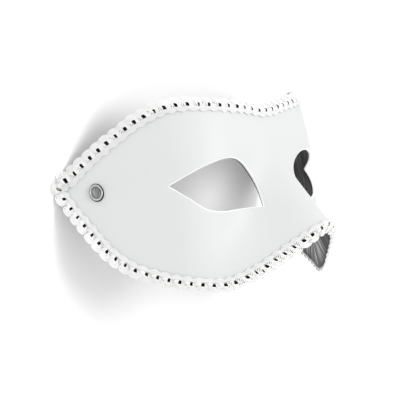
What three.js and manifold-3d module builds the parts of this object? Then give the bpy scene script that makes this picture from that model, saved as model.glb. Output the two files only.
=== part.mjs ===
// A moulded leather half mask with a glued lining, a gimp braid round its edge and a cap rivet at each temple.
// Every piece is cut flat, as its maker cuts it, and is then bent over one form.
// Millimetres. +X is the viewer's right, +Y runs to the forehead and +Z out of the face.
// The mask lies face up on its two temple tips, on the plane z = 0.
import * as THREE from "three";
import { mergeVertices } from "three/addons/utils/BufferGeometryUtils.js";
import Module from "manifold-3d";

const wasm = await Module();
wasm.setup();

// The form that the leather is moulded over.
const middleHalf = 26.5; // half width of the flat between the two side bends
const bendRadius = 32.7;
const bendAngle = THREE.MathUtils.degToRad(57.8);
const templeRadius = 345;
const browRadius = 121; // the arc from forehead to cheeks
const browCentre = 2.5;
const cheekFullness = 0.208; // how much the cheeks stand out against the forehead, at fullnessWidth
const fullnessWidth = 50;
const noseTop = 8.8;
const noseSlope = 1.115; // height gained for each millimetre down the bridge
const noseSoftness = 4.2;
const noseHalfWidth = 9;
const noseFlare = 0.313;

// The flat pattern, right half: the line that the braid follows, from mid forehead round to the nose.
const edgeHalf = [
  [0, 30],
  [20, 32.5],
  [37.5, 34],
  [50, 34],
  [63.5, 29.7],
  [93, 11.8],
  [108.5, 0.8],
  [116, -4],
  [114.5, -11],
  [101, -31],
  [88.5, -39.7],
  [71, -45],
  [50.5, -48.4],
  [40.5, -48.9],
  [31, -44.7],
  [7, -25.7],
  [0, -23.2],
];
const upperLid = [
  [62.8, -2.9],
  [52.2, 2.6],
  [42.6, 6.7],
  [32.9, 9],
  [26.1, 8.3],
  [20.8, 5],
  [17.4, 0],
  [16.5, -5.4],
  [17.5, -14],
];
const lowerLid = [
  [17.5, -14],
  [28, -14.8],
  [38, -15.2],
  [46, -13.5],
  [54, -8.5],
  [62.8, -2.9],
];
const rivetSpot = [98.2, -5.9];

// Thicknesses and clearances.
const leatherThickness = 1.6;
const liningThickness = 0.8;
const fitGap = 0.35;
const glueGap = 0.7; // between leather and lining
const leatherInset = 1.9; // the cut edge of the leather, inside the braid's middle line
const liningOutset = 1.4;

// The blank that each sheet is cut from, a grid that is finer over the nose.
const blankHalfWidth = 122;
const blankHalfHeight = 46;
const blankMiddle = -7.4;
const gridColumns = 34;
const gridRows = 14;
const columnCrowding = 1.45; // 1 spaces the columns evenly
const rowCrowding = 1.2;
const outlinePoints = 84;
const lidSteps = 13;

// The braid: a scalloped band with one lobe for each turn of its cord.
const lobeCount = 104;
const braidInner = 4.2;
const braidOuter = 3.1;
const lobeDepth = 0.45; // each edge runs this far either side of its mean line
const braidThickness = 1.5;
const stepsPerLobe = 3;
const cornerShare = 0.85; // how far the band may reach towards the middle of a tight corner

// The rivets, a little narrower along the mask than they are high.
const capRadius = 4.3;
const capHeight = 1.4;
const capSides = 14;
const capNarrowing = 0.8;
const rimWidth = capRadius / 4;
const sunkDepth = capHeight * 0.3; // how far the cap's middle lies below its rim
const shankRadius = 1.5;
const backCapRadius = 3.6;
const backCapHeight = 0.8;

// How the mask lies: turned back until it balances, with each temple tip pressed flat on the floor.
const lieBack = THREE.MathUtils.degToRad(-6);
const tipPress = 1.8;
const tipHeight = 65.85 - tipPress;
const middleShift = 7.68;
const floorSize = 400;
const floorDepth = 40;

const toRow = new THREE.Matrix4()
  .makeRotationX(lieBack)
  .setPosition(0, middleShift, tipHeight);

// How far the form drops and how wide it is, an arc length away from the middle line.
function sidewaysBend(along) {
  const bend = THREE.MathUtils.clamp((along - middleHalf) / bendRadius, 0, bendAngle);
  const past = Math.max(along - middleHalf - bendRadius * bendAngle, 0) / templeRadius;
  const angle = bendAngle + past;
  return {
    x: Math.min(along, middleHalf)
      + bendRadius * Math.sin(bend)
      + templeRadius * (Math.sin(angle) - Math.sin(bendAngle)),
    z: bendRadius * (Math.cos(bend) - 1)
      + templeRadius * (Math.cos(angle) - Math.cos(bendAngle)),
  };
}

function formSurface(across, up) {
  const { x, z } = sidewaysBend(Math.abs(across));
  const brow = (up - browCentre) ** 2 / (2 * browRadius);
  const cheeks = cheekFullness * up * (x / fullnessWidth) ** 2;
  const nose = noseSlope * noseSoftness * Math.log1p(Math.exp((noseTop - up) / noseSoftness));
  const noseWidth = noseHalfWidth + noseFlare * nose;
  const height = z - brow - cheeks + nose * Math.exp(-((x / noseWidth) ** 2));
  return new THREE.Vector3(Math.sign(across) * x, up, height);
}

function formNormal(across, up) {
  const step = 0.01;
  const alongAcross = formSurface(across + step, up).sub(formSurface(across - step, up));
  const alongUp = formSurface(across, up + step).sub(formSurface(across, up - step));
  return alongAcross.cross(alongUp).normalize();
}

// Where a point of the flat pattern lands, lift millimetres above the leather's outer face.
function mould(across, up, lift) {
  return formSurface(across, up)
    .addScaledVector(formNormal(across, up), lift)
    .applyMatrix4(toRow);
}

function mouldGeometry(flat) {
  const at = flat.attributes.position;
  for (let i = 0; i < at.count; i++) {
    const placed = mould(at.getX(i), at.getY(i), at.getZ(i));
    at.setXYZ(i, placed.x, placed.y, placed.z);
  }
  flat.computeVertexNormals();
  return flat;
}

// A closed geometry as a solid. Each triangle keeps its own face number, so that a cut leaves the flat grid whole.
function toSolid(geometry) {
  const bare = geometry.clone();
  bare.deleteAttribute("normal");
  bare.deleteAttribute("uv");
  const merged = mergeVertices(bare, 1e-4);
  const triVerts = new Uint32Array(merged.index.array);
  const faceID = Uint32Array.from({ length: triVerts.length / 3 }, (_, i) => i);
  const vertProperties = merged.attributes.position.array;
  return new wasm.Manifold(new wasm.Mesh({ numProp: 3, vertProperties, triVerts, faceID }));
}

function toGeometry(solid) {
  const { vertProperties, triVerts } = solid.getMesh();
  const geometry = new THREE.BufferGeometry();
  geometry.setAttribute("position", new THREE.BufferAttribute(vertProperties, 3));
  geometry.setIndex(new THREE.BufferAttribute(triVerts, 1));
  return geometry;
}

const mirrored = (points) => points.map(([across, up]) => [-across, up]).reverse();
const flatCurve = (points, closed) => new THREE.CatmullRomCurve3(
  points.map(([across, up]) => new THREE.Vector3(across, up, 0)),
  closed,
);

// The braid's middle line in the flat, and the same line on the form, which spaces its lobes evenly.
const edge = flatCurve([...edgeHalf, ...mirrored(edgeHalf.slice(1, -1))], true);
class EdgeOnForm extends THREE.Curve {
  getPoint(t) {
    const flat = edge.getPoint(t);
    return formSurface(flat.x, flat.y);
  }
}
const edgeOnForm = new EdgeOnForm();
edgeOnForm.arcLengthDivisions = 2000;

// Stations round the edge: the point, the way outwards, and how far in and out a band may reach there.
function edgeStations(count) {
  const stations = Array.from({ length: count }, (_, i) => {
    const t = edgeOnForm.getUtoTmapping(i / count);
    const ahead = edge.getTangent(t);
    return { at: edge.getPoint(t), out: new THREE.Vector3(-ahead.y, ahead.x, 0) };
  });
  // The largest circle on one side of the edge that touches it here and crosses it nowhere.
  const room = (station, side) => Math.min(...stations.map((other) => {
    const chord = other.at.clone().sub(station.at);
    const sidewards = chord.dot(station.out) * side;
    return sidewards > 1e-6 ? chord.lengthSq() / (2 * sidewards) : Infinity;
  }));
  for (const station of stations) {
    station.inwardRoom = room(station, -1) * cornerShare;
    station.outwardRoom = room(station, 1) * cornerShare;
  }
  return stations;
}

// The edge line moved outwards by reach, or inwards where reach is negative.
function movedEdge(count, reach) {
  return edgeStations(count).map(({ at, out, inwardRoom, outwardRoom }) => {
    const held = THREE.MathUtils.clamp(reach, -inwardRoom, outwardRoom);
    return new THREE.Vector2(at.x + out.x * held, at.y + out.y * held);
  });
}

function eyeHole(lidPoints) {
  const [upper, lower] = lidPoints.map((points) => flatCurve(points, false).getSpacedPoints(lidSteps));
  return new THREE.Path([...upper, ...lower.slice(1, -1)].map(({ x, y }) => new THREE.Vector2(x, y)));
}

// One flat sheet with its outline, eye holes and rivet holes cut, moulded over the form.
function mouldedSheet({ reach, bottom, top }) {
  const cutter = new THREE.Shape(movedEdge(outlinePoints, reach));
  cutter.holes.push(eyeHole([upperLid, lowerLid]), eyeHole([mirrored(lowerLid), mirrored(upperLid)]));
  for (const side of [-1, 1]) {
    const hole = new THREE.Path();
    hole.absarc(side * rivetSpot[0], rivetSpot[1], shankRadius + fitGap, 0, 2 * Math.PI);
    cutter.holes.push(hole);
  }
  const spare = 5;
  const through = new THREE.ExtrudeGeometry(cutter, {
    depth: top - bottom + 2 * spare,
    bevelEnabled: false,
    curveSegments: 5,
  }).translate(0, 0, bottom - spare);

  const blank = new THREE.BoxGeometry(2, 2, top - bottom, gridColumns, gridRows, 1);
  const crowd = (share, power) => Math.sign(share) * Math.abs(share) ** power;
  const at = blank.attributes.position;
  for (let i = 0; i < at.count; i++) {
    at.setX(i, crowd(at.getX(i), columnCrowding) * blankHalfWidth);
    at.setY(i, crowd(at.getY(i), rowCrowding) * blankHalfHeight + blankMiddle);
  }
  blank.translate(0, 0, (top + bottom) / 2);
  return mouldGeometry(toGeometry(toSolid(blank).intersect(toSolid(through))));
}

function braidBand() {
  const stations = edgeStations(lobeCount * stepsPerLobe);
  const bottom = fitGap;
  const top = fitGap + braidThickness;
  const corners = stations.flatMap(({ at, out, inwardRoom, outwardRoom }, i) => {
    const scallop = lobeDepth * Math.cos((2 * Math.PI * i) / stepsPerLobe);
    const inner = -Math.min(braidInner + scallop, inwardRoom);
    const outer = Math.min(braidOuter + scallop, outwardRoom);
    return [[inner, bottom], [outer, bottom], [outer, top], [inner, top]]
      .flatMap(([reach, lift]) => mould(at.x + out.x * reach, at.y + out.y * reach, lift).toArray());
  });
  const sides = 4;
  const rings = stations.length;
  const faces = stations.flatMap((_, ring) => Array.from({ length: sides }, (__, side) => {
    const next = ((ring + 1) % rings) * sides;
    const here = ring * sides;
    const turn = (side + 1) % sides;
    return [here + side, next + turn, next + side, here + side, here + turn, next + turn];
  }).flat());
  const band = new THREE.BufferGeometry();
  band.setAttribute("position", new THREE.Float32BufferAttribute(corners, 3));
  band.setIndex(faces);

  const floor = new THREE.BoxGeometry(floorSize, floorSize, floorDepth).translate(0, 0, -floorDepth / 2);
  return toGeometry(toSolid(band).subtract(toSolid(floor)));
}

// A turned cap with a rolled rim and a sunk middle, its shank, and the flat cap behind the lining.
function rivetGeometry() {
  const back = -(leatherThickness + glueGap + liningThickness + fitGap);
  const profile = [
    [0, back - backCapHeight],
    [backCapRadius, back - backCapHeight],
    [backCapRadius, back],
    [shankRadius, back],
    [shankRadius, fitGap],
    [capRadius, fitGap],
    [capRadius, fitGap + capHeight / 2],
    [capRadius - rimWidth * 0.4, fitGap + capHeight],
    [capRadius - rimWidth, fitGap + capHeight],
    [capRadius - rimWidth * 1.4, fitGap + capHeight - sunkDepth],
    [0, fitGap + capHeight - sunkDepth],
  ].map(([radius, height]) => new THREE.Vector2(radius, height));
  return new THREE.LatheGeometry(profile, capSides).scale(capNarrowing, 1, 1);
}

function finish(color, roughness, metalness = 0) {
  return new THREE.MeshStandardMaterial({ color, roughness, metalness });
}

function piece(name, geometry, material) {
  const mesh = new THREE.Mesh(geometry, material);
  mesh.name = name;
  return mesh;
}

const whiteLeather = finish("#e9eceb", 0.55);
const darkLining = finish("#2c2c2e", 0.8);
const whiteBraid = finish("#f3f3f1", 0.7);
const nickel = finish("#8d8f92", 0.35, 1);

const mask = new THREE.Group();
mask.add(piece("face_shell", mouldedSheet({
  reach: -leatherInset,
  bottom: -leatherThickness,
  top: 0,
}), whiteLeather));
mask.add(piece("lining", mouldedSheet({
  reach: liningOutset,
  bottom: -leatherThickness - glueGap - liningThickness,
  top: -leatherThickness - glueGap,
}), darkLining));
mask.add(piece("braid_trim", braidBand(), whiteBraid));

for (const [name, side] of [["rivet_left", 1], ["rivet_right", -1]]) {
  const rivet = piece(name, rivetGeometry(), nickel);
  const [across, up] = rivetSpot;
  rivet.position.copy(mould(side * across, up, 0));
  const outwards = mould(side * across, up, 1).sub(rivet.position).normalize();
  const towardsBrow = mould(side * across, up + 1, 0).sub(rivet.position);
  const sideways = outwards.clone().cross(towardsBrow).normalize();
  const basis = new THREE.Matrix4().makeBasis(sideways, outwards, sideways.clone().cross(outwards));
  rivet.quaternion.setFromRotationMatrix(basis);
  mask.add(rivet);
}

export default mask;
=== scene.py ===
"""The looks of a white leather half mask with a gimp braid edge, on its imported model. Metres, +Z up."""
import math

import bmesh
import bpy
import numpy as np
from mathutils import Matrix, Vector
from mathutils.geometry import delaunay_2d_cdt


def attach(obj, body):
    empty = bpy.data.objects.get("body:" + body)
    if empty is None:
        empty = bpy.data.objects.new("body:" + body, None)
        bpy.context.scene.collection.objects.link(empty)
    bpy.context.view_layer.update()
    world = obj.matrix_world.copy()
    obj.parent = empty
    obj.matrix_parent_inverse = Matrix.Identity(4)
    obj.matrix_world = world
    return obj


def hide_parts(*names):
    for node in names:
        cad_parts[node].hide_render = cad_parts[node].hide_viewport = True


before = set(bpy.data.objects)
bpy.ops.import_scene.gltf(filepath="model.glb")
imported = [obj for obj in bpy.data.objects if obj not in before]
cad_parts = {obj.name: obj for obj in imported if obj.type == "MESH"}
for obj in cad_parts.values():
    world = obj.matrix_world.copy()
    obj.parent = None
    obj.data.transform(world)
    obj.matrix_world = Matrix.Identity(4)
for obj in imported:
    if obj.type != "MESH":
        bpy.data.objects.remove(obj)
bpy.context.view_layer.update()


# The face shell.
# One sheet of white leather, cut flat to a pattern with its two eye holes, wetted and pressed over a form,
# then sprayed with a dull white finish. The cut edges are rounded and rubbed smooth, and their rims are
# painted lighter: a painted highlight, where the rounded edge catches the light.
middle_half = 0.0265  # half width of the form's flat between its two side bends
bend_radius = 0.0327
bend_angle = math.radians(57.8)
temple_radius = 0.345
brow_radius = 0.121
brow_centre = 0.0025
cheek_fullness = 0.208  # how much the cheeks stand out against the forehead, at fullness_width
fullness_width = 0.050
nose_top = 0.0088
nose_slope = 1.115
nose_softness = 0.0042
nose_half_width = 0.009
nose_flare = 0.313
lie_back = math.radians(-6)
pattern_place = (0, 0.00768, 0.06405)  # the pattern's origin, above the table
on_its_tips = Matrix.Translation(pattern_place) @ Matrix.Rotation(lie_back, 4, "X")

leather_thickness = 0.0016
leather_round = 0.0005  # on its cut edges
leather_inset = 0.0006  # the cut edge, inside the braid's middle line
corner_share = 0.85  # how far anything may reach towards the middle of a tight corner of the edge
rivet_spot = (0.0982, -0.0059)
rivet_hole = 0.0018
nose_length = 0.035  # how far along the pattern the lower edge belongs to the nose
edge_steps = 640  # points round each sheet's edge
floor_gap = 0.0003  # both sheets end this far above the floor at the temple tips
# The braid's middle line on the flat pattern, from the forehead's middle round a temple to under the nose.
edge_half = [
    (0, 0.0300),
    (0.0200, 0.0325),
    (0.0375, 0.0340),
    (0.0500, 0.0340),
    (0.0635, 0.0297),
    (0.0930, 0.0118),
    (0.1085, 0.0008),
    (0.1160, -0.0040),
    (0.1145, -0.0110),
    (0.1010, -0.0310),
    (0.0885, -0.0397),
    (0.0710, -0.0450),
    (0.0505, -0.0484),
    (0.0405, -0.0489),
    (0.0310, -0.0447),
    (0.0070, -0.0257),
    (0, -0.0232),
]
# One eye hole, from its outer corner over the top to its inner corner, and back along the bottom.
upper_lid = [
    (0.0628, -0.0029),
    (0.0522, 0.0026),
    (0.0426, 0.0067),
    (0.0329, 0.0090),
    (0.0261, 0.0083),
    (0.0208, 0.0050),
    (0.0174, 0),
    (0.0165, -0.0054),
    (0.0175, -0.0140),
]
lower_lid = [
    (0.0175, -0.0140),
    (0.0280, -0.0148),
    (0.0380, -0.0152),
    (0.0460, -0.0135),
    (0.0540, -0.0085),
    (0.0628, -0.0029),
]


def form_surface(across, up):
    """Where a point of the flat pattern comes to lie on the form."""
    along = np.abs(across)
    bend = np.clip((along - middle_half) / bend_radius, 0, bend_angle)
    angle = bend_angle + np.maximum(along - middle_half - bend_radius * bend_angle, 0) / temple_radius
    width = np.minimum(along, middle_half) + bend_radius * np.sin(bend)
    width = width + temple_radius * (np.sin(angle) - math.sin(bend_angle))
    drop = bend_radius * (np.cos(bend) - 1) + temple_radius * (np.cos(angle) - math.cos(bend_angle))
    brow = (up - brow_centre) ** 2 / (2 * brow_radius)
    cheeks = cheek_fullness * up * (width / fullness_width) ** 2
    nose = nose_slope * nose_softness * np.log1p(np.exp((nose_top - up) / nose_softness))
    nose_width = nose_half_width + nose_flare * nose
    height = drop - brow - cheeks + nose * np.exp(-((width / nose_width) ** 2))
    return np.stack([np.sign(across) * width, up, height], axis=-1)


def mould(flat, lift):
    """Where pattern points lie in the mask, lift above the leather's outer face, and the way out there."""
    across, up = flat[:, 0], flat[:, 1]
    step = 1e-5
    sideways = form_surface(across + step, up) - form_surface(across - step, up)
    upwards = form_surface(across, up + step) - form_surface(across, up - step)
    normal = np.cross(sideways, upwards)
    normal /= np.linalg.norm(normal, axis=1, keepdims=True)
    turn = np.array(on_its_tips)
    placed = form_surface(across, up) + normal * np.broadcast_to(lift, across.shape)[:, None]
    return placed @ turn[:3, :3].T + turn[:3, 3], normal @ turn[:3, :3].T


def smooth_line(points, closed, steps):
    """A smooth line through the points, with that many steps from each to the next."""
    points = np.array(points)
    before, after = 2 * points[:1] - points[1:2], 2 * points[-1:] - points[-2:-1]
    chain = np.vstack([points[-1:], points, points[:2]] if closed else [before, points, after])
    knots = np.concatenate([[0], np.cumsum(np.linalg.norm(np.diff(chain, axis=0), axis=1) ** 0.5)])
    spans = []
    for i in range(len(chain) - 3):
        t = np.linspace(knots[i + 1], knots[i + 2], steps, endpoint=False)[:, None]
        line = list(chain[i:i + 4])
        for reach in (1, 2):
            line = [
                ((knots[i + j + reach] - t) * line[j] + (t - knots[i + j]) * line[j + 1])
                / (knots[i + j + reach] - knots[i + j])
                for j in range(4 - reach)
            ]
        share = (t - knots[i + 1]) / (knots[i + 2] - knots[i + 1])
        spans.append(line[0] * (1 - share) + line[1] * share)
    return np.vstack(spans)


def mirrored(points):
    return [(-across, up) for across, up in reversed(points)]


def edge_stations(count):
    """Evenly spaced points of the moulded edge, the way outwards, and the room inside and outside each."""
    fine_steps = 60
    line = smooth_line(edge_half + mirrored(edge_half[1:-1]), True, fine_steps)
    line = np.vstack([line, line[:1]])
    moulded = form_surface(line[:, 0], line[:, 1])
    length = np.concatenate([[0], np.cumsum(np.linalg.norm(np.diff(moulded, axis=0), axis=1))])
    wanted = np.arange(count) / count * length[-1]
    at = np.stack([np.interp(wanted, length, line[:, axis]) for axis in (0, 1)], axis=-1)
    ahead = np.roll(at, -1, axis=0) - np.roll(at, 1, axis=0)
    ahead /= np.linalg.norm(ahead, axis=1, keepdims=True)
    out = np.stack([-ahead[:, 1], ahead[:, 0]], axis=-1)
    chord = at[None] - at[:, None]
    sideways = (chord * out[:, None]).sum(axis=2)
    room = []
    for side in (-1, 1):
        apart = np.where(sideways * side > 1e-9, 2 * sideways * side, 1e-9)
        circle = np.where(sideways * side > 1e-9, (chord ** 2).sum(axis=2) / apart, 1.0)
        room.append(circle.min(axis=1) * corner_share)
    return at, out, room[0], room[1]


def widened(loop, distance):
    """A closed hole's line, moved away from its middle."""
    ahead = np.roll(loop, -1, axis=0) - loop
    ahead /= np.linalg.norm(ahead, axis=1, keepdims=True)
    both = ahead + np.roll(ahead, 1, axis=0)
    both /= np.linalg.norm(both, axis=1, keepdims=True)
    clockwise = (loop[:, 0] * np.roll(loop[:, 1], -1) - np.roll(loop[:, 0], -1) * loop[:, 1]).sum() < 0
    outwards = np.stack([both[:, 1], -both[:, 0]], axis=-1) * (-1 if clockwise else 1)
    return loop + outwards * distance


def inside(points, loop):
    """Which points lie within a closed line."""
    x, y = points[:, :1], points[:, 1:]
    ax, ay = loop[:, 0], loop[:, 1]
    bx, by = np.roll(ax, -1), np.roll(ay, -1)
    level = np.where(by == ay, 1e-12, by - ay)
    crosses = ((ay > y) != (by > y)) & (x < ax + (y - ay) / level * (bx - ax))
    return crosses.sum(axis=1) % 2 == 1


def beside_nose(flat):
    """1 on the edge under the nose, fading to 0 along the cheeks."""
    return np.exp(-((flat[:, 0] / nose_length) ** 4)) * (flat[:, 1] < 0)


def left_by_cuts(points, cuts):
    """Which points lie within the first line, the outer edge, and in none of the holes."""
    kept = inside(points, cuts[0])
    for hole in cuts[1:]:
        kept &= ~inside(points, hole)
    return kept


def fill_pattern(cuts):
    """Points between the cut edges, how far each is from an edge, triangles, and where each edge starts."""
    grid_step = 0.0012
    row_share = 0.87
    closest_share = 0.55  # how near an edge a grid point may come, in grid steps
    batch = 100
    border = np.vstack(cuts)
    low, high = border.min(axis=0), border.max(axis=0)
    across, up = np.arange(low[0], high[0], grid_step), np.arange(low[1], high[1], grid_step * row_share)
    columns, rows = np.meshgrid(across, up)
    columns[::2] += grid_step / 2
    grid = np.stack([columns.ravel(), rows.ravel()], axis=-1)
    grid = grid[left_by_cuts(grid, cuts)]
    from_edge = np.full(len(grid), np.inf)
    for start in range(0, len(border), batch):
        gap = np.linalg.norm(grid[:, None] - border[None, start:start + batch], axis=2)
        from_edge = np.minimum(from_edge, gap.min(axis=1))
    clear = from_edge > grid_step * closest_share
    flat = np.vstack([border, grid[clear]])
    from_edge = np.concatenate([np.zeros(len(border)), from_edge[clear]])
    starts = np.cumsum([0] + [len(cut) for cut in cuts])
    cut_edges = [
        (start + i, start + (i + 1) % (end - start))
        for start, end in zip(starts, starts[1:])
        for i in range(end - start)
    ]
    _, _, faces, came_from, _, _ = delaunay_2d_cdt([Vector(p) for p in flat], cut_edges, [], 0, 1e-9)
    source = [ids[0] for ids in came_from]
    triangles = np.array([[source[v] for v in face] for face in faces])
    triangles = triangles[left_by_cuts(flat[triangles].mean(axis=1), cuts)]
    return flat, from_edge, triangles, starts


def cut_sheet(name, reach, top, thickness, edge_round):
    """A sheet cut to the pattern and moulded: its edge is reach outside the braid's middle line."""
    lid_steps = 10
    rivet_sides = 24
    round_steps = 4
    at, out, room_inside, room_outside = edge_stations(edge_steps)
    eye = np.vstack([smooth_line(lid, False, lid_steps) for lid in (upper_lid, lower_lid)])
    turn = np.linspace(0, 2 * math.pi, rivet_sides, endpoint=False)
    circle = np.stack([np.cos(turn), np.sin(turn)], axis=-1) * rivet_hole
    holes = [eye, eye * (-1, 1), circle + rivet_spot, circle + np.array(rivet_spot) * (-1, 1)]

    full = np.clip(reach, -room_inside, room_outside)
    lowest = mould(at + out * full[:, None], top - thickness)[0][:, 2]
    trim = np.maximum(floor_gap - lowest, 0)

    def cuts(inset):
        held = np.clip(reach - inset, -room_inside, room_outside) - trim
        return [at + out * held[:, None]] + [widened(hole, inset) for hole in holes]

    arc = np.linspace(0, math.pi / 2, round_steps)
    insets = np.concatenate([edge_round * (1 - np.sin(arc)), edge_round * (1 - np.cos(arc))])
    drops = np.concatenate([edge_round * (1 - np.cos(arc)), thickness - edge_round * (1 - np.sin(arc))])
    flat, from_edge, triangles, starts = fill_pattern(cuts(edge_round))
    count = len(flat)
    points = [mould(flat, top)[0], mould(flat, top - thickness)[0]]
    polygons = triangles.tolist() + (triangles[:, ::-1] + count).tolist()
    levels = [(cuts(inset), drop) for inset, drop in zip(insets[1:-1], drops[1:-1])]
    total = 2 * count
    for which, (start, end) in enumerate(zip(starts, starts[1:])):
        rings = [np.arange(start, end)]
        for level, drop in levels:
            points.append(mould(level[which], top - drop)[0])
            rings.append(np.arange(total, total + end - start))
            total += end - start
        rings.append(np.arange(start, end) + count)
        for ring, below in zip(rings, rings[1:]):
            corners = [ring, np.roll(ring, -1), np.roll(below, -1), below]
            polygons += np.stack(corners, axis=-1).tolist()
    mesh = bpy.data.meshes.new(name)
    mesh.from_pydata(np.vstack(points).tolist(), [], polygons)
    point = np.arange(total)
    noted = {
        "rim": point >= 2 * count,
        "back": (point >= count) & (point < 2 * count),
        "from_edge": np.concatenate([from_edge, from_edge, np.zeros(total - 2 * count)]),
    }
    for part, values in noted.items():
        mesh.attributes.new(part, "FLOAT", "POINT").data.foreach_set("value", values.astype(np.float32))
    sheet = bmesh.new()
    sheet.from_mesh(mesh)
    bmesh.ops.recalc_face_normals(sheet, faces=sheet.faces)
    sheet.to_mesh(mesh)
    sheet.free()
    return mesh


def new_piece(name, mesh, material):
    """Puts a finished mesh in the scene as one smooth piece that rides on the mask."""
    mesh.polygons.foreach_set("use_smooth", [True] * len(mesh.polygons))
    mesh.materials.clear()
    mesh.materials.append(material)
    piece = bpy.data.objects.new(name, mesh)
    bpy.context.scene.collection.objects.link(piece)
    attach(piece, "root")
    return piece


class Nodes:
    """A material or node group that is written one node at a time."""

    def __init__(self, tree):
        self.tree = tree
        tree.nodes.clear()

    def add(self, kind, settings=None, **inputs):
        node = self.tree.nodes.new(kind)
        for name, value in (settings or {}).items():
            setattr(node, name, value)
        for name, value in inputs.items():
            self.set(node, name.replace("_", " "), value)
        return node

    def set(self, node, name, value):
        found = [socket for socket in node.inputs if socket.name == name and socket.enabled]
        self.fill(found[0], value)

    def fill(self, socket, value):
        if isinstance(value, bpy.types.NodeSocket):
            self.tree.links.new(value, socket)
        else:
            socket.default_value = value

    def math(self, operation, *values):
        """A sum worked out from numbers and other nodes' values."""
        node = self.add("ShaderNodeMath", {"operation": operation})
        for socket, value in zip(node.inputs, values):
            self.fill(socket, value)
        return node.outputs[0]

    def attribute(self, name, output="Fac"):
        """What the mesh notes at each point under that name."""
        return self.add("ShaderNodeAttribute", {"attribute_name": name}).outputs[output]


def new_material(name):
    material = bpy.data.materials.new(name)
    material.use_nodes = True
    return material, Nodes(material.node_tree)


def finish_material(nodes, **inputs):
    surface = nodes.add("ShaderNodeBsdfPrincipled", **inputs)
    nodes.add("ShaderNodeOutputMaterial", Surface=surface.outputs["BSDF"])


def uneven_tone_group():
    """A colour that wanders a little over the surface, as on anything dyed or sprayed by hand."""
    group = bpy.data.node_groups.new("uneven tone", "ShaderNodeTree")
    nodes = Nodes(group)
    for name, kind in [("Color", "NodeSocketColor"), ("Patch Size", "NodeSocketFloat"),
                       ("Amount", "NodeSocketFloat")]:
        group.interface.new_socket(name, in_out="INPUT", socket_type=kind)
    group.interface.new_socket("Color", in_out="OUTPUT", socket_type="NodeSocketColor")
    given = nodes.add("NodeGroupInput").outputs
    place = nodes.add("ShaderNodeTexCoord").outputs["Object"]
    scale = nodes.math("DIVIDE", 1, given["Patch Size"])
    patches = nodes.add("ShaderNodeTexNoise", Vector=place, Scale=scale, Detail=4.0, Roughness=0.6)
    around_none = nodes.math("SUBTRACT", patches.outputs["Fac"], 0.5)
    brightness = nodes.math("ADD", nodes.math("MULTIPLY", around_none, given["Amount"]), 1)
    toned = nodes.add("ShaderNodeHueSaturation", Value=brightness, Color=given["Color"])
    nodes.add("NodeGroupOutput", Color=toned.outputs["Color"])
    return group


uneven_tone = uneven_tone_group()
leather_color = (0.625, 0.635, 0.632, 1)
# Painted highlight: the cut edges' rims are painted lighter, where the rounded edge catches the light.
edge_highlight_color = (0.9, 0.9, 0.89, 1)
grain_size = 0.0007
leather, nodes = new_material("white leather")
place = nodes.add("ShaderNodeTexCoord").outputs["Object"]
tone = nodes.add("ShaderNodeGroup", {"node_tree": uneven_tone}, Color=leather_color, Patch_Size=0.03,
                 Amount=0.06)
pebbles = nodes.add("ShaderNodeTexVoronoi", {"feature": "SMOOTH_F1"}, Vector=place, Scale=1 / grain_size,
                    Smoothness=0.6)
wrinkles = nodes.add("ShaderNodeTexNoise", Vector=place, Scale=0.25 / grain_size, Detail=6.0,
                     Roughness=0.65)
grain = nodes.add("ShaderNodeBump", Strength=0.25, Distance=0.00012, Height=pebbles.outputs["Distance"])
relief = nodes.add("ShaderNodeBump", Strength=0.3, Distance=0.0003, Height=wrinkles.outputs["Fac"],
                   Normal=grain.outputs["Normal"])
# The rim points take the painted highlight.
edge_highlighted = nodes.add("ShaderNodeMixRGB", Fac=nodes.attribute("rim"), Color1=tone.outputs["Color"],
                  Color2=edge_highlight_color)
finish_material(nodes, Base_Color=edge_highlighted.outputs["Color"], Roughness=0.5, Normal=relief.outputs["Normal"])

shell_mesh = cut_sheet("face_shell_leather", -leather_inset, 0, leather_thickness, leather_round)
face_shell = new_piece("face_shell_leather", shell_mesh, leather)
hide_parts("face_shell")


# The lining.
# A dark grey satin cloth, cut to the same pattern and glued behind the leather. It runs out under the
# braid, where it shows as a dark spot in each of the braid's small holes. Its light streaks are painted
# sheen, strongest on the lower cheeks, where they are a painted reflection of the bright table.
lining_thickness = 0.0005
lining_round = 0.0002
lining_reach = 0.0017
nose_trim = 0.0009  # how much less beside the nose, where the braid bends back more
glue_line = 0.00005
lining_color = (0.008, 0.008, 0.009, 1)
satin_sheen_color = (0.85, 0.85, 0.86, 1)  # painted sheen: where the threads catch the light
upper_sheen_share = 0.08  # how much of the painted sheen shows above the lower cheeks; below, it is a painted reflection of the bright table
sheen_from = -0.015  # on the way from the brow down
sheen_full = -0.035
sheen_edge_fade = 0.0045  # how far from the cut edges the painted sheen takes to fade in
thread_size = 0.0003
satin, nodes = new_material("dark satin lining")
place = nodes.add("ShaderNodeTexCoord").outputs["Object"]
along_weft = nodes.add("ShaderNodeMapping", Vector=place, Scale=(1, 0.03, 0.1))
floats = nodes.add("ShaderNodeTexNoise", Vector=along_weft.outputs["Vector"], Scale=0.22 / thread_size,
                   Detail=3.0)
tone = nodes.add("ShaderNodeGroup", {"node_tree": uneven_tone}, Color=lining_color, Patch_Size=0.01,
                 Amount=0.5)
shine = nodes.add("ShaderNodeMapRange", Value=floats.outputs["Fac"], From_Min=0.42, From_Max=0.72)
brow_way = nodes.add("ShaderNodeSeparateXYZ", Vector=place).outputs["Y"]
lower_cheek_sheen = nodes.add("ShaderNodeMapRange", Value=brow_way, From_Min=sheen_from, From_Max=sheen_full,
                   To_Min=upper_sheen_share)
off_the_edges = nodes.add("ShaderNodeMapRange", Value=nodes.attribute("from_edge"), From_Min=0,
                    From_Max=sheen_edge_fade)
shown = shine.outputs["Result"]
for share in (lower_cheek_sheen.outputs["Result"], nodes.attribute("back"), off_the_edges.outputs["Result"]):
    shown = nodes.math("MULTIPLY", shown, share)
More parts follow.
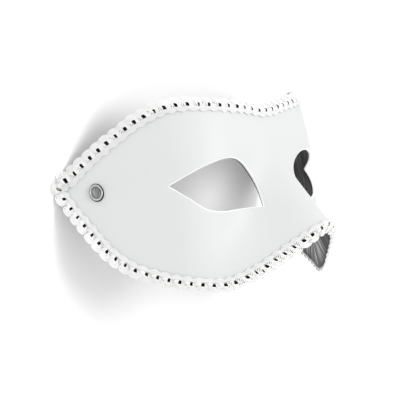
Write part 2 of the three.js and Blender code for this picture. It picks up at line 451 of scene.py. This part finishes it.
# Painted sheen: light streaks added on the back face, strongest on the lower cheeks as a painted reflection
# of the bright table.
streaks = nodes.add("ShaderNodeMixRGB", {"blend_type": "ADD"}, Fac=shown, Color1=tone.outputs["Color"],
                    Color2=satin_sheen_color)
weave = nodes.add("ShaderNodeBump", Strength=0.5, Distance=0.0002, Height=floats.outputs["Fac"])
finish_material(nodes, Base_Color=streaks.outputs["Color"], Roughness=0.5, Specular_IOR_Level=0.25,
                Normal=weave.outputs["Normal"])

lining_reaches = lining_reach - nose_trim * beside_nose(edge_stations(edge_steps)[0])
lining_top = -leather_thickness - glue_line
lining_mesh = cut_sheet("lining_cloth", lining_reaches, lining_top, lining_thickness, lining_round)
lining = new_piece("lining_cloth", lining_mesh, satin)
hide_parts("lining")


# The braid.
# White rayon gimp: four cords wind to and fro in close loops, each outer loop a lobe with a slit, and four
# more cross the slits' ends in a scallop. The inner part is glued on the leather, and the outer half bends
# back past its edge, but lies flat at the lower temple corners and spreads on the table at the tips.
lobe_count = 104
cord_count = 4
slit_top = 0.0013  # the slit's outer end, outside the braid's middle line
slit_foot = 0.0016  # its inner end, inside that line
slit_half_width = 0.00064
outer_spacing = 0.00093  # from cord to cord in the outer loops
loop_end = 0.0029  # how far inwards the loops wind, below the scallop
loop_end_spacing = 0.0007
loop_fullness = 0.0007  # how far each loop's shoulders stand out beside a plain wave, at the outer end
loop_end_fullness = 0.0003
loop_dip = 0.0003  # how much lower the loops pass under the scallop
scallop_spacing = 0.00073  # from cord to cord in the scallop's lobes
scallop_narrow = 0.00048  # and between them
inner_lead = 0.15  # how far the scallop's lobes sit back from halfway between the slits, in lobes
cord_height_share = 0.95
braid_lift = 0.0008
scallop_fall = 0.00045  # how much nearer the leather the scallop's innermost cord lies
bend_back = math.radians(40)
nose_bend = math.radians(33)  # more, beside the nose
squeeze = 0.28  # how much narrower the inner part is where the outer half bends back
nose_squeeze = 0.25  # more, beside the nose
flat_corner = (0.104, -0.0255)
flat_length = 0.021
temple_tip = (0.1165, -0.005)
tip_length = 0.009
table_rest = 0.0004  # the lowest that a cord's middle line lies above the table
table_spread = 0.6  # how far a cord slides out on the table for each part of its length pressed up
uneven_along = 0.00024  # how unevenly the braid was laid down
uneven_across = 0.00014
uneven_slits = 0.00022  # how unevenly the slits were drawn open
join_lobe = 81.4  # the braid's two ends, at the wearer's right temple
end_overlap = 0.7  # in lobes
end_lift = 0.0009
turn_sharpness = 1.5  # how soon a cord's width changes from its turns to its legs
steps_per_lobe = 18
cord_sides = 6
braid_color = (0.92, 0.92, 0.91, 1)
furrow_shade_color = (0.5, 0.5, 0.5, 1)  # painted shade in the furrows between the cords
furrow_shade_from = 0.16  # in turns round the cord, from its top or foot
furrow_shade_full = 0.25
inner_shade_color = (0.76, 0.765, 0.76, 1)  # painted shade on the part that lies on the leather, which catches less light than the raised outer lobes
inner_shade_from = -0.0008
inner_shade_full = -0.0022


def unevenness(lobe, amount, seed):
    """A shift that wanders from loop to loop, the same for every cord."""
    turns = 2 * lobe_count
    shifts = np.random.default_rng(seed).normal(0, amount, turns)
    return np.interp(lobe * 2, np.arange(turns), shifts, period=turns)


def cord_line(outer_peak, inner_peak, leg, fullness, lead_power, widths, dip):
    """One cord's middle line round the mask, the way out of the mask along it, its width and its reach."""
    count = lobe_count * steps_per_lobe
    at, out, room_inside, room_outside = edge_stations(count)
    lobe = np.arange(join_lobe - end_overlap, join_lobe + lobe_count + end_overlap, 1 / steps_per_lobe)
    wave = np.cos(2 * math.pi * lobe)
    reach = (outer_peak + inner_peak) / 2 + (outer_peak - inner_peak) / 2 * wave
    inner_share = (1 - wave) / 2
    outer_share = np.clip((reach + slit_foot) / (slit_top + slit_foot), 0, 1)
    shoulders = (fullness[0] + (fullness[1] - fullness[0]) * inner_share) * np.sin(4 * math.pi * lobe)
    along = lobe + (leg * np.sin(2 * math.pi * lobe) + shoulders) / lobe_length
    along -= inner_lead * inner_share ** lead_power
    along += unevenness(lobe, uneven_along, 1) / lobe_length
    along += unevenness(lobe, uneven_slits, 3) * np.sin(2 * math.pi * lobe) * outer_share / lobe_length
    reach += unevenness(lobe, uneven_across, 2)
    outer_width, leg_width, inner_width = widths
    turning = np.abs(wave) ** turn_sharpness
    width = leg_width + (np.where(wave > 0, outer_width, inner_width) - leg_width) * turning
    station = along * steps_per_lobe
    before = np.floor(station).astype(int)
    share = (station - before)[:, None]

    def between(values):
        return values[before % count] * (1 - share) + values[(before + 1) % count] * share

    room_inside, room_outside = (between(room[:, None])[:, 0] for room in (room_inside, room_outside))
    middle, outwards = between(at), between(out)
    from_corner = np.hypot(np.abs(middle[:, 0]) - flat_corner[0], middle[:, 1] - flat_corner[1])
    loose = 1 - np.exp(-((from_corner / flat_length) ** 2))
    from_tip = np.hypot(np.abs(middle[:, 0]) - temple_tip[0], middle[:, 1] - temple_tip[1])
    at_nose = beside_nose(middle)
    bend = bend_back * loose * (1 - np.exp(-((from_tip / tip_length) ** 2))) + nose_bend * at_nose
    kept = 1 - squeeze * loose - nose_squeeze * at_nose
    outer_part, inner_part = np.maximum(reach, 0), np.minimum(reach, 0) * kept
    placed = np.clip(outer_part * np.cos(bend) + inner_part, -room_inside, room_outside)
    upper_end = np.clip((lobe - lobe[-1]) / end_overlap / 2 + 1, 0, 1)
    scallop_width = cord_count * scallop_spacing
    under = np.clip(-reach / slit_foot, 0, 1) * dip
    under += np.clip((-reach - slit_foot) / scallop_width, 0, 1) * scallop_fall
    lift = braid_lift - outer_part * np.sin(bend) + end_lift * upper_end - under
    line, normals = mould(middle + outwards * placed[:, None], lift)
    pressed = np.maximum(table_rest - line[:, 2], 0)
    line[:, 2] += pressed
    line[:, 0] += np.sign(line[:, 0]) * pressed * table_spread
    normals[pressed > 0] = (0, 0, 1)
    return line, normals, width, reach


def cord_tree():
    """Sweeps a flattened cord along each line, and notes how far along and around it each point is."""
    tree = bpy.data.node_groups.new("gimp cord", "GeometryNodeTree")
    nodes = Nodes(tree)
    tree.interface.new_socket("Lines", in_out="INPUT", socket_type="NodeSocketGeometry")
    for name, kind in [("Height Share", "NodeSocketFloat"), ("Cord Sides", "NodeSocketInt"),
                       ("Cord Material", "NodeSocketMaterial")]:
        tree.interface.new_socket(name, in_out="INPUT", socket_type=kind)
    tree.interface.new_socket("Cords", in_out="OUTPUT", socket_type="NodeSocketGeometry")
    given = nodes.add("NodeGroupInput").outputs
    line = nodes.add("GeometryNodeMeshToCurve", Mesh=given["Lines"])
    outwards = nodes.add("GeometryNodeInputNamedAttribute", {"data_type": "FLOAT_VECTOR"}, Name="outwards")
    faced = nodes.add("GeometryNodeSetCurveNormal", {"mode": "FREE"}, Curve=line.outputs["Curve"],
                      Normal=outwards.outputs["Attribute"])
    width = nodes.add("GeometryNodeInputNamedAttribute", {"data_type": "FLOAT"}, Name="width")
    along = nodes.add("GeometryNodeCaptureAttribute", Geometry=faced.outputs["Curve"])
    along.capture_items.new("FLOAT", "Along")
    nodes.set(along, "Along", nodes.add("GeometryNodeSplineParameter").outputs["Length"])
    circle = nodes.add("GeometryNodeCurvePrimitiveCircle", Resolution=given["Cord Sides"], Radius=0.5)
    around = nodes.add("GeometryNodeCaptureAttribute", Geometry=circle.outputs["Curve"])
    around.capture_items.new("FLOAT", "Around")
    nodes.set(around, "Around", nodes.add("GeometryNodeSplineParameter").outputs["Factor"])
    size = nodes.add("ShaderNodeCombineXYZ", X=given["Height Share"], Y=1.0, Z=1.0)
    section = nodes.add("GeometryNodeTransform", Geometry=around.outputs["Geometry"],
                        Scale=size.outputs["Vector"])
    swept = nodes.add("GeometryNodeCurveToMesh", Curve=along.outputs["Geometry"],
                      Profile_Curve=section.outputs["Geometry"], Scale=width.outputs["Attribute"],
                      Fill_Caps=True)
    wrap = nodes.add("ShaderNodeCombineXYZ", X=along.outputs["Along"], Y=around.outputs["Around"])
    noted = nodes.add("GeometryNodeStoreNamedAttribute", {"data_type": "FLOAT_VECTOR", "domain": "POINT"},
                      Geometry=swept.outputs["Mesh"], Name="wrap", Value=wrap.outputs["Vector"])
    real = nodes.add("GeometryNodeRealizeInstances", Geometry=noted.outputs["Geometry"])
    coated = nodes.add("GeometryNodeSetMaterial", Geometry=real.outputs["Geometry"],
                       Material=given["Cord Material"])
    nodes.add("NodeGroupOutput", Cords=coated.outputs["Geometry"])
    return tree


wrap_pitch = 0.0006
gimp, nodes = new_material("white gimp cord")
wrap = nodes.add("ShaderNodeSeparateXYZ", Vector=nodes.attribute("wrap", "Vector")).outputs
turns = nodes.math("MULTIPLY_ADD", wrap["X"], 1 / wrap_pitch, wrap["Y"])
threads = nodes.math("PINGPONG", turns, 0.5)
sideways = nodes.math("PINGPONG", wrap["Y"], 0.25)
# Painted shade: the part of the braid on the leather is painted darker than the raised outer lobes.
inner_shade = nodes.add("ShaderNodeMapRange", Value=nodes.attribute("reach"), From_Min=inner_shade_from,
                  From_Max=inner_shade_full)
inner_shaded = nodes.add("ShaderNodeMixRGB", Fac=inner_shade.outputs["Result"], Color1=braid_color, Color2=inner_shade_color)
# Painted shade: each cord's sides, where the furrows between the cords lie, are darkened.
furrow_shade = nodes.add("ShaderNodeMapRange", Value=sideways, From_Min=furrow_shade_from, From_Max=furrow_shade_full)
shaded = nodes.add("ShaderNodeMixRGB", Fac=furrow_shade.outputs["Result"], Color1=inner_shaded.outputs["Color"],
                   Color2=furrow_shade_color)
tone = nodes.add("ShaderNodeGroup", {"node_tree": uneven_tone}, Color=shaded.outputs["Color"],
                 Patch_Size=0.004, Amount=0.08)
thread_relief = nodes.add("ShaderNodeBump", Strength=0.6, Distance=0.00012, Height=threads)
finish_material(nodes, Base_Color=tone.outputs["Color"], Roughness=0.55, Sheen_Weight=0.2,
                Subsurface_Weight=0.4, Subsurface_Scale=0.0003, Subsurface_Radius=(1, 1, 1),
                Normal=thread_relief.outputs["Normal"])

edge_points = mould(edge_stations(lobe_count * steps_per_lobe)[0], 0)[0]
lobe_length = np.linalg.norm(np.diff(edge_points, axis=0), axis=1).sum() / lobe_count
leg_width = (lobe_length / 2 - slit_half_width) / cord_count
cords = []
for cord in range(cord_count):
    outer_peak = slit_top + (cord + 0.5) * outer_spacing
    inner_peak = -loop_end + (cord + 0.5) * loop_end_spacing
    leg = slit_half_width + (cord + 0.5) * leg_width - lobe_length / 4
    widths = (outer_spacing, leg_width, loop_end_spacing)
    fullness = (loop_fullness, loop_end_fullness)
    cords.append(cord_line(outer_peak, inner_peak, leg, fullness, 4, widths, loop_dip))
for cord in range(cord_count):
    between_lobes = -slit_foot - (cord + 0.5) * scallop_narrow
    lobe_peak = -slit_foot - (cord + 0.5) * scallop_spacing
    widths = (scallop_narrow, (scallop_narrow + scallop_spacing) / 2, scallop_spacing)
    cords.append(cord_line(between_lobes, lobe_peak, 0, (0, 0), 0, widths, 0))
cord_points, cord_normals, cord_widths, cord_reaches = zip(*cords)
starts = np.cumsum([0] + [len(points) for points in cord_points])
cord_edges = [(i, i + 1) for start, end in zip(starts, starts[1:]) for i in range(start, end - 1)]
cord_mesh = bpy.data.meshes.new("cord lines")
cord_mesh.from_pydata(np.vstack(cord_points).tolist(), cord_edges, [])
for part, kind, field, values in (("outwards", "FLOAT_VECTOR", "vector", cord_normals),
                                  ("width", "FLOAT", "value", cord_widths),
                                  ("reach", "FLOAT", "value", cord_reaches)):
    attribute = cord_mesh.attributes.new(part, kind, "POINT")
    attribute.data.foreach_set(field, np.concatenate(values).astype(np.float32).ravel())
cord_lines = bpy.data.objects.new("cord lines", cord_mesh)
bpy.context.scene.collection.objects.link(cord_lines)
sweep = cord_lines.modifiers.new("sweep", "NODES")
sweep.node_group = cord_tree()
settings = {"Height Share": cord_height_share, "Cord Sides": cord_sides, "Cord Material": gimp}
for socket in sweep.node_group.interface.items_tree:
    if socket.name in settings:
        sweep[socket.identifier] = settings[socket.name]
bpy.context.view_layer.update()
swept_lines = cord_lines.evaluated_get(bpy.context.evaluated_depsgraph_get())
braid_mesh = bpy.data.meshes.new_from_object(swept_lines)
bpy.data.objects.remove(cord_lines)
# At the tips the cords are pressed flat on the table.
for vertex in braid_mesh.vertices:
    vertex.co.z = max(vertex.co.z, 0)
braid = new_piece("gimp_braid", braid_mesh, gimp)
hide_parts("braid_trim")


# The rivets.
# A nickel-plated cap rivet through leather and lining at each temple, where a tie is fixed. Its cap has a
# rolled rim round a sunk, brushed disc, and a plain flat cap is set on its shank at the back. Both caps are
# a little narrower along the mask than they are high.
cap_radius = 0.0043
cap_narrowing = 0.8
cap_height = 0.0014
roll_radius = 0.0006
roll_outside = 0.0040
disc_radius = 0.0026
disc_sink = 0.0004
groove_depth = 0.0004  # round the disc, below it
bevel = 0.0002
cap_foot = 0.0001
shank_radius = 0.0015
back_cap_radius = 0.0036
back_cap_height = 0.0008
brush_width = 0.0005
tone_border = 0.0003  # over which disc, roll and painted gap shadow change into each other
dark_nickel = (0.11, 0.111, 0.114, 1)
light_nickel = (0.50, 0.505, 0.51, 1)
polished_nickel = (0.50, 0.505, 0.51, 1)
# Painted shadow: the cap's low flange outside the roll is painted near black, standing in for the shadowed
# gap round the cap.
gap_shadow_color = (0.03, 0.03, 0.032, 1)
nickel, nodes = new_material("brushed nickel")
place = nodes.add("ShaderNodeTexCoord").outputs["Object"]
brush_lines = nodes.add("ShaderNodeMapping", Vector=place, Scale=(1, 0.1, 1))
streaks = nodes.add("ShaderNodeTexNoise", Vector=brush_lines.outputs["Vector"], Scale=0.5 / brush_width,
                    Detail=3.0)
stripes = nodes.add("ShaderNodeMapRange", Value=streaks.outputs["Fac"], From_Min=0.35, From_Max=0.65)
brushed = nodes.add("ShaderNodeMixRGB", Fac=stripes.outputs["Result"], Color1=dark_nickel,
                    Color2=light_nickel)
from_axis = nodes.attribute("from_axis")
on_roll = nodes.add("ShaderNodeMapRange", Value=from_axis, From_Min=disc_radius,
                    From_Max=disc_radius + tone_border)
# Outside the roll the cap takes the painted shadow colour.
outside = nodes.add("ShaderNodeMapRange", Value=from_axis, From_Min=roll_outside - tone_border,
                    From_Max=roll_outside)
polished = nodes.add("ShaderNodeGroup", {"node_tree": uneven_tone}, Color=polished_nickel,
                     Patch_Size=0.003, Amount=1.2)
rolled = nodes.add("ShaderNodeMixRGB", Fac=on_roll.outputs["Result"], Color1=brushed.outputs["Color"],
                   Color2=polished.outputs["Color"])
tone = nodes.add("ShaderNodeMixRGB", Fac=outside.outputs["Result"], Color1=rolled.outputs["Color"],
                 Color2=gap_shadow_color)
rub = nodes.add("ShaderNodeMapRange", Value=streaks.outputs["Fac"], To_Min=0.22, To_Max=0.5)
brushing = nodes.add("ShaderNodeBump", Strength=0.3, Distance=0.00005, Height=streaks.outputs["Fac"])
finish_material(nodes, Base_Color=tone.outputs["Color"], Metallic=1.0, Roughness=rub.outputs["Result"],
                Normal=brushing.outputs["Normal"])


def turned(name, profile, centre, axis, brow_way, narrowing, sides=64):
    """A piece turned on an axis from (radius, height) points, then narrowed across brow_way."""
    outline = bmesh.new()
    across = brow_way.cross(axis).normalized()
    stand = Matrix((across * narrowing, axis.cross(across), axis)).transposed().to_4x4()
    stand = Matrix.Translation(centre) @ stand
    rings = []
    for radius, height in profile:
        if radius == 0:
            rings.append([outline.verts.new((0, 0, height))] * sides)
            continue
        angles = [2 * math.pi * i / sides for i in range(sides)]
        circle = [(radius * math.cos(a), radius * math.sin(a), height) for a in angles]
        rings.append([outline.verts.new(point) for point in circle])
    for ring, above in zip(rings, rings[1:]):
        for i in range(sides):
            corners = [ring[i], ring[(i + 1) % sides], above[(i + 1) % sides], above[i]]
            outline.faces.new(list(dict.fromkeys(corners)))
    radii = [vertex.co.xy.length for vertex in outline.verts]
    outline.transform(stand)
    bmesh.ops.recalc_face_normals(outline, faces=outline.faces)
    mesh = bpy.data.meshes.new(name)
    outline.to_mesh(mesh)
    outline.free()
    mesh.attributes.new("from_axis", "FLOAT", "POINT").data.foreach_set("value", radii)
    return mesh


back_of_lining = -leather_thickness - glue_line - lining_thickness
back_cap_foot = back_of_lining - back_cap_height
groove = cap_height - disc_sink - groove_depth
roll_turn = [math.radians(angle) for angle in range(0, 181, 20)]
roll_across, roll_up = roll_outside - roll_radius, cap_height - roll_radius
cap_profile = [
    (0, back_cap_foot),
    (back_cap_radius - bevel, back_cap_foot),
    (back_cap_radius, back_cap_foot + bevel),
    (back_cap_radius, back_of_lining),
    (shank_radius, back_of_lining),
    (shank_radius, cap_foot),
    (cap_radius, cap_foot),
    (cap_radius, cap_foot + bevel),
    (roll_outside, cap_foot + 2 * bevel),
]
for angle in roll_turn:
    cap_profile.append((roll_across + roll_radius * math.cos(angle), roll_up + roll_radius * math.sin(angle)))
cap_profile += [
    (disc_radius + bevel / 2, groove),
    (disc_radius, groove),
    (disc_radius - bevel, cap_height - disc_sink - bevel / 2),
    (disc_radius / 2, cap_height - disc_sink),
    (0, cap_height - disc_sink),
]
for side, name in ((1, "left"), (-1, "right")):
    spots, outwards = mould((np.array([rivet_spot]) + [(0, 0), (0, 0.001)]) * (side, 1), 0)
    brow_way = Vector(spots[1] - spots[0])
    centre, axis = Vector(spots[0]), Vector(outwards[0])
    rivet_mesh = turned(f"rivet_{name}_cap", cap_profile, centre, axis, brow_way, cap_narrowing)
    rivet = new_piece(f"rivet_{name}_cap", rivet_mesh, nickel)
    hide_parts(f"rivet_{name}")


# The table, light and camera.
# A plain white table under soft light from all round, with a lamp above, on the forehead side.
table_size = 8
lamp_place = (0.0, 0.38, 1.1)
lamp_size = 0.5
lamp_energy = 5.0
lit_spot = (0, 0, 0.05)
daylight = 1.0
bpy.ops.mesh.primitive_plane_add(size=table_size)
table = bpy.context.object
table.name = "table"
paper, nodes = new_material("white paper")
finish_material(nodes, Base_Color=(0.95, 0.95, 0.95, 1), Roughness=0.9)
table.data.materials.append(paper)

world = bpy.data.worlds.new("studio")
bpy.context.scene.world = world
world.use_nodes = True
world.node_tree.nodes["Background"].inputs["Color"].default_value = (1, 1, 1, 1)
world.node_tree.nodes["Background"].inputs["Strength"].default_value = daylight

soft_light = bpy.data.lights.new("soft light", "AREA")
soft_light.shape = "DISK"
soft_light.size = lamp_size
soft_light.energy = lamp_energy
lamp = bpy.data.objects.new("soft light", soft_light)
bpy.context.scene.collection.objects.link(lamp)
lamp.location = lamp_place
lamp.rotation_euler = (Vector(lit_spot) - lamp.location).to_track_quat("-Z", "Y").to_euler()

camera_side = 0.90  # radians round to the wearer's right
camera_climb = 0.103  # radians towards the forehead
camera_roll = -0.014
camera_distance = 0.7
frame_shift = (-0.03413, -0.01322)  # the camera's place beside the line to the middle of the nose
picture_half = 200  # half the picture's width, in pixels
focal_length = 1456  # in the same pixels
back = Vector((
    -math.sin(camera_side) * math.cos(camera_climb),
    math.sin(camera_climb),
    math.cos(camera_side) * math.cos(camera_climb),
))
level = Vector((math.cos(camera_side), 0, math.sin(camera_side)))
up = back.cross(level)
right = level * math.cos(camera_roll) + up * math.sin(camera_roll)
up = back.cross(right)
place = right * frame_shift[0] + up * frame_shift[1] + back * camera_distance
view = Matrix((right, up, back)).transposed().to_4x4()
camera_data = bpy.data.cameras.new("camera")
camera_data.angle = 2 * math.atan(picture_half / focal_length)
camera_data.clip_start = 0.01
camera = bpy.data.objects.new("camera", camera_data)
bpy.context.scene.collection.objects.link(camera)
camera.matrix_world = on_its_tips @ Matrix.Translation(place) @ view
bpy.context.scene.camera = camera
bpy.context.scene.view_settings.view_transform = "Standard"
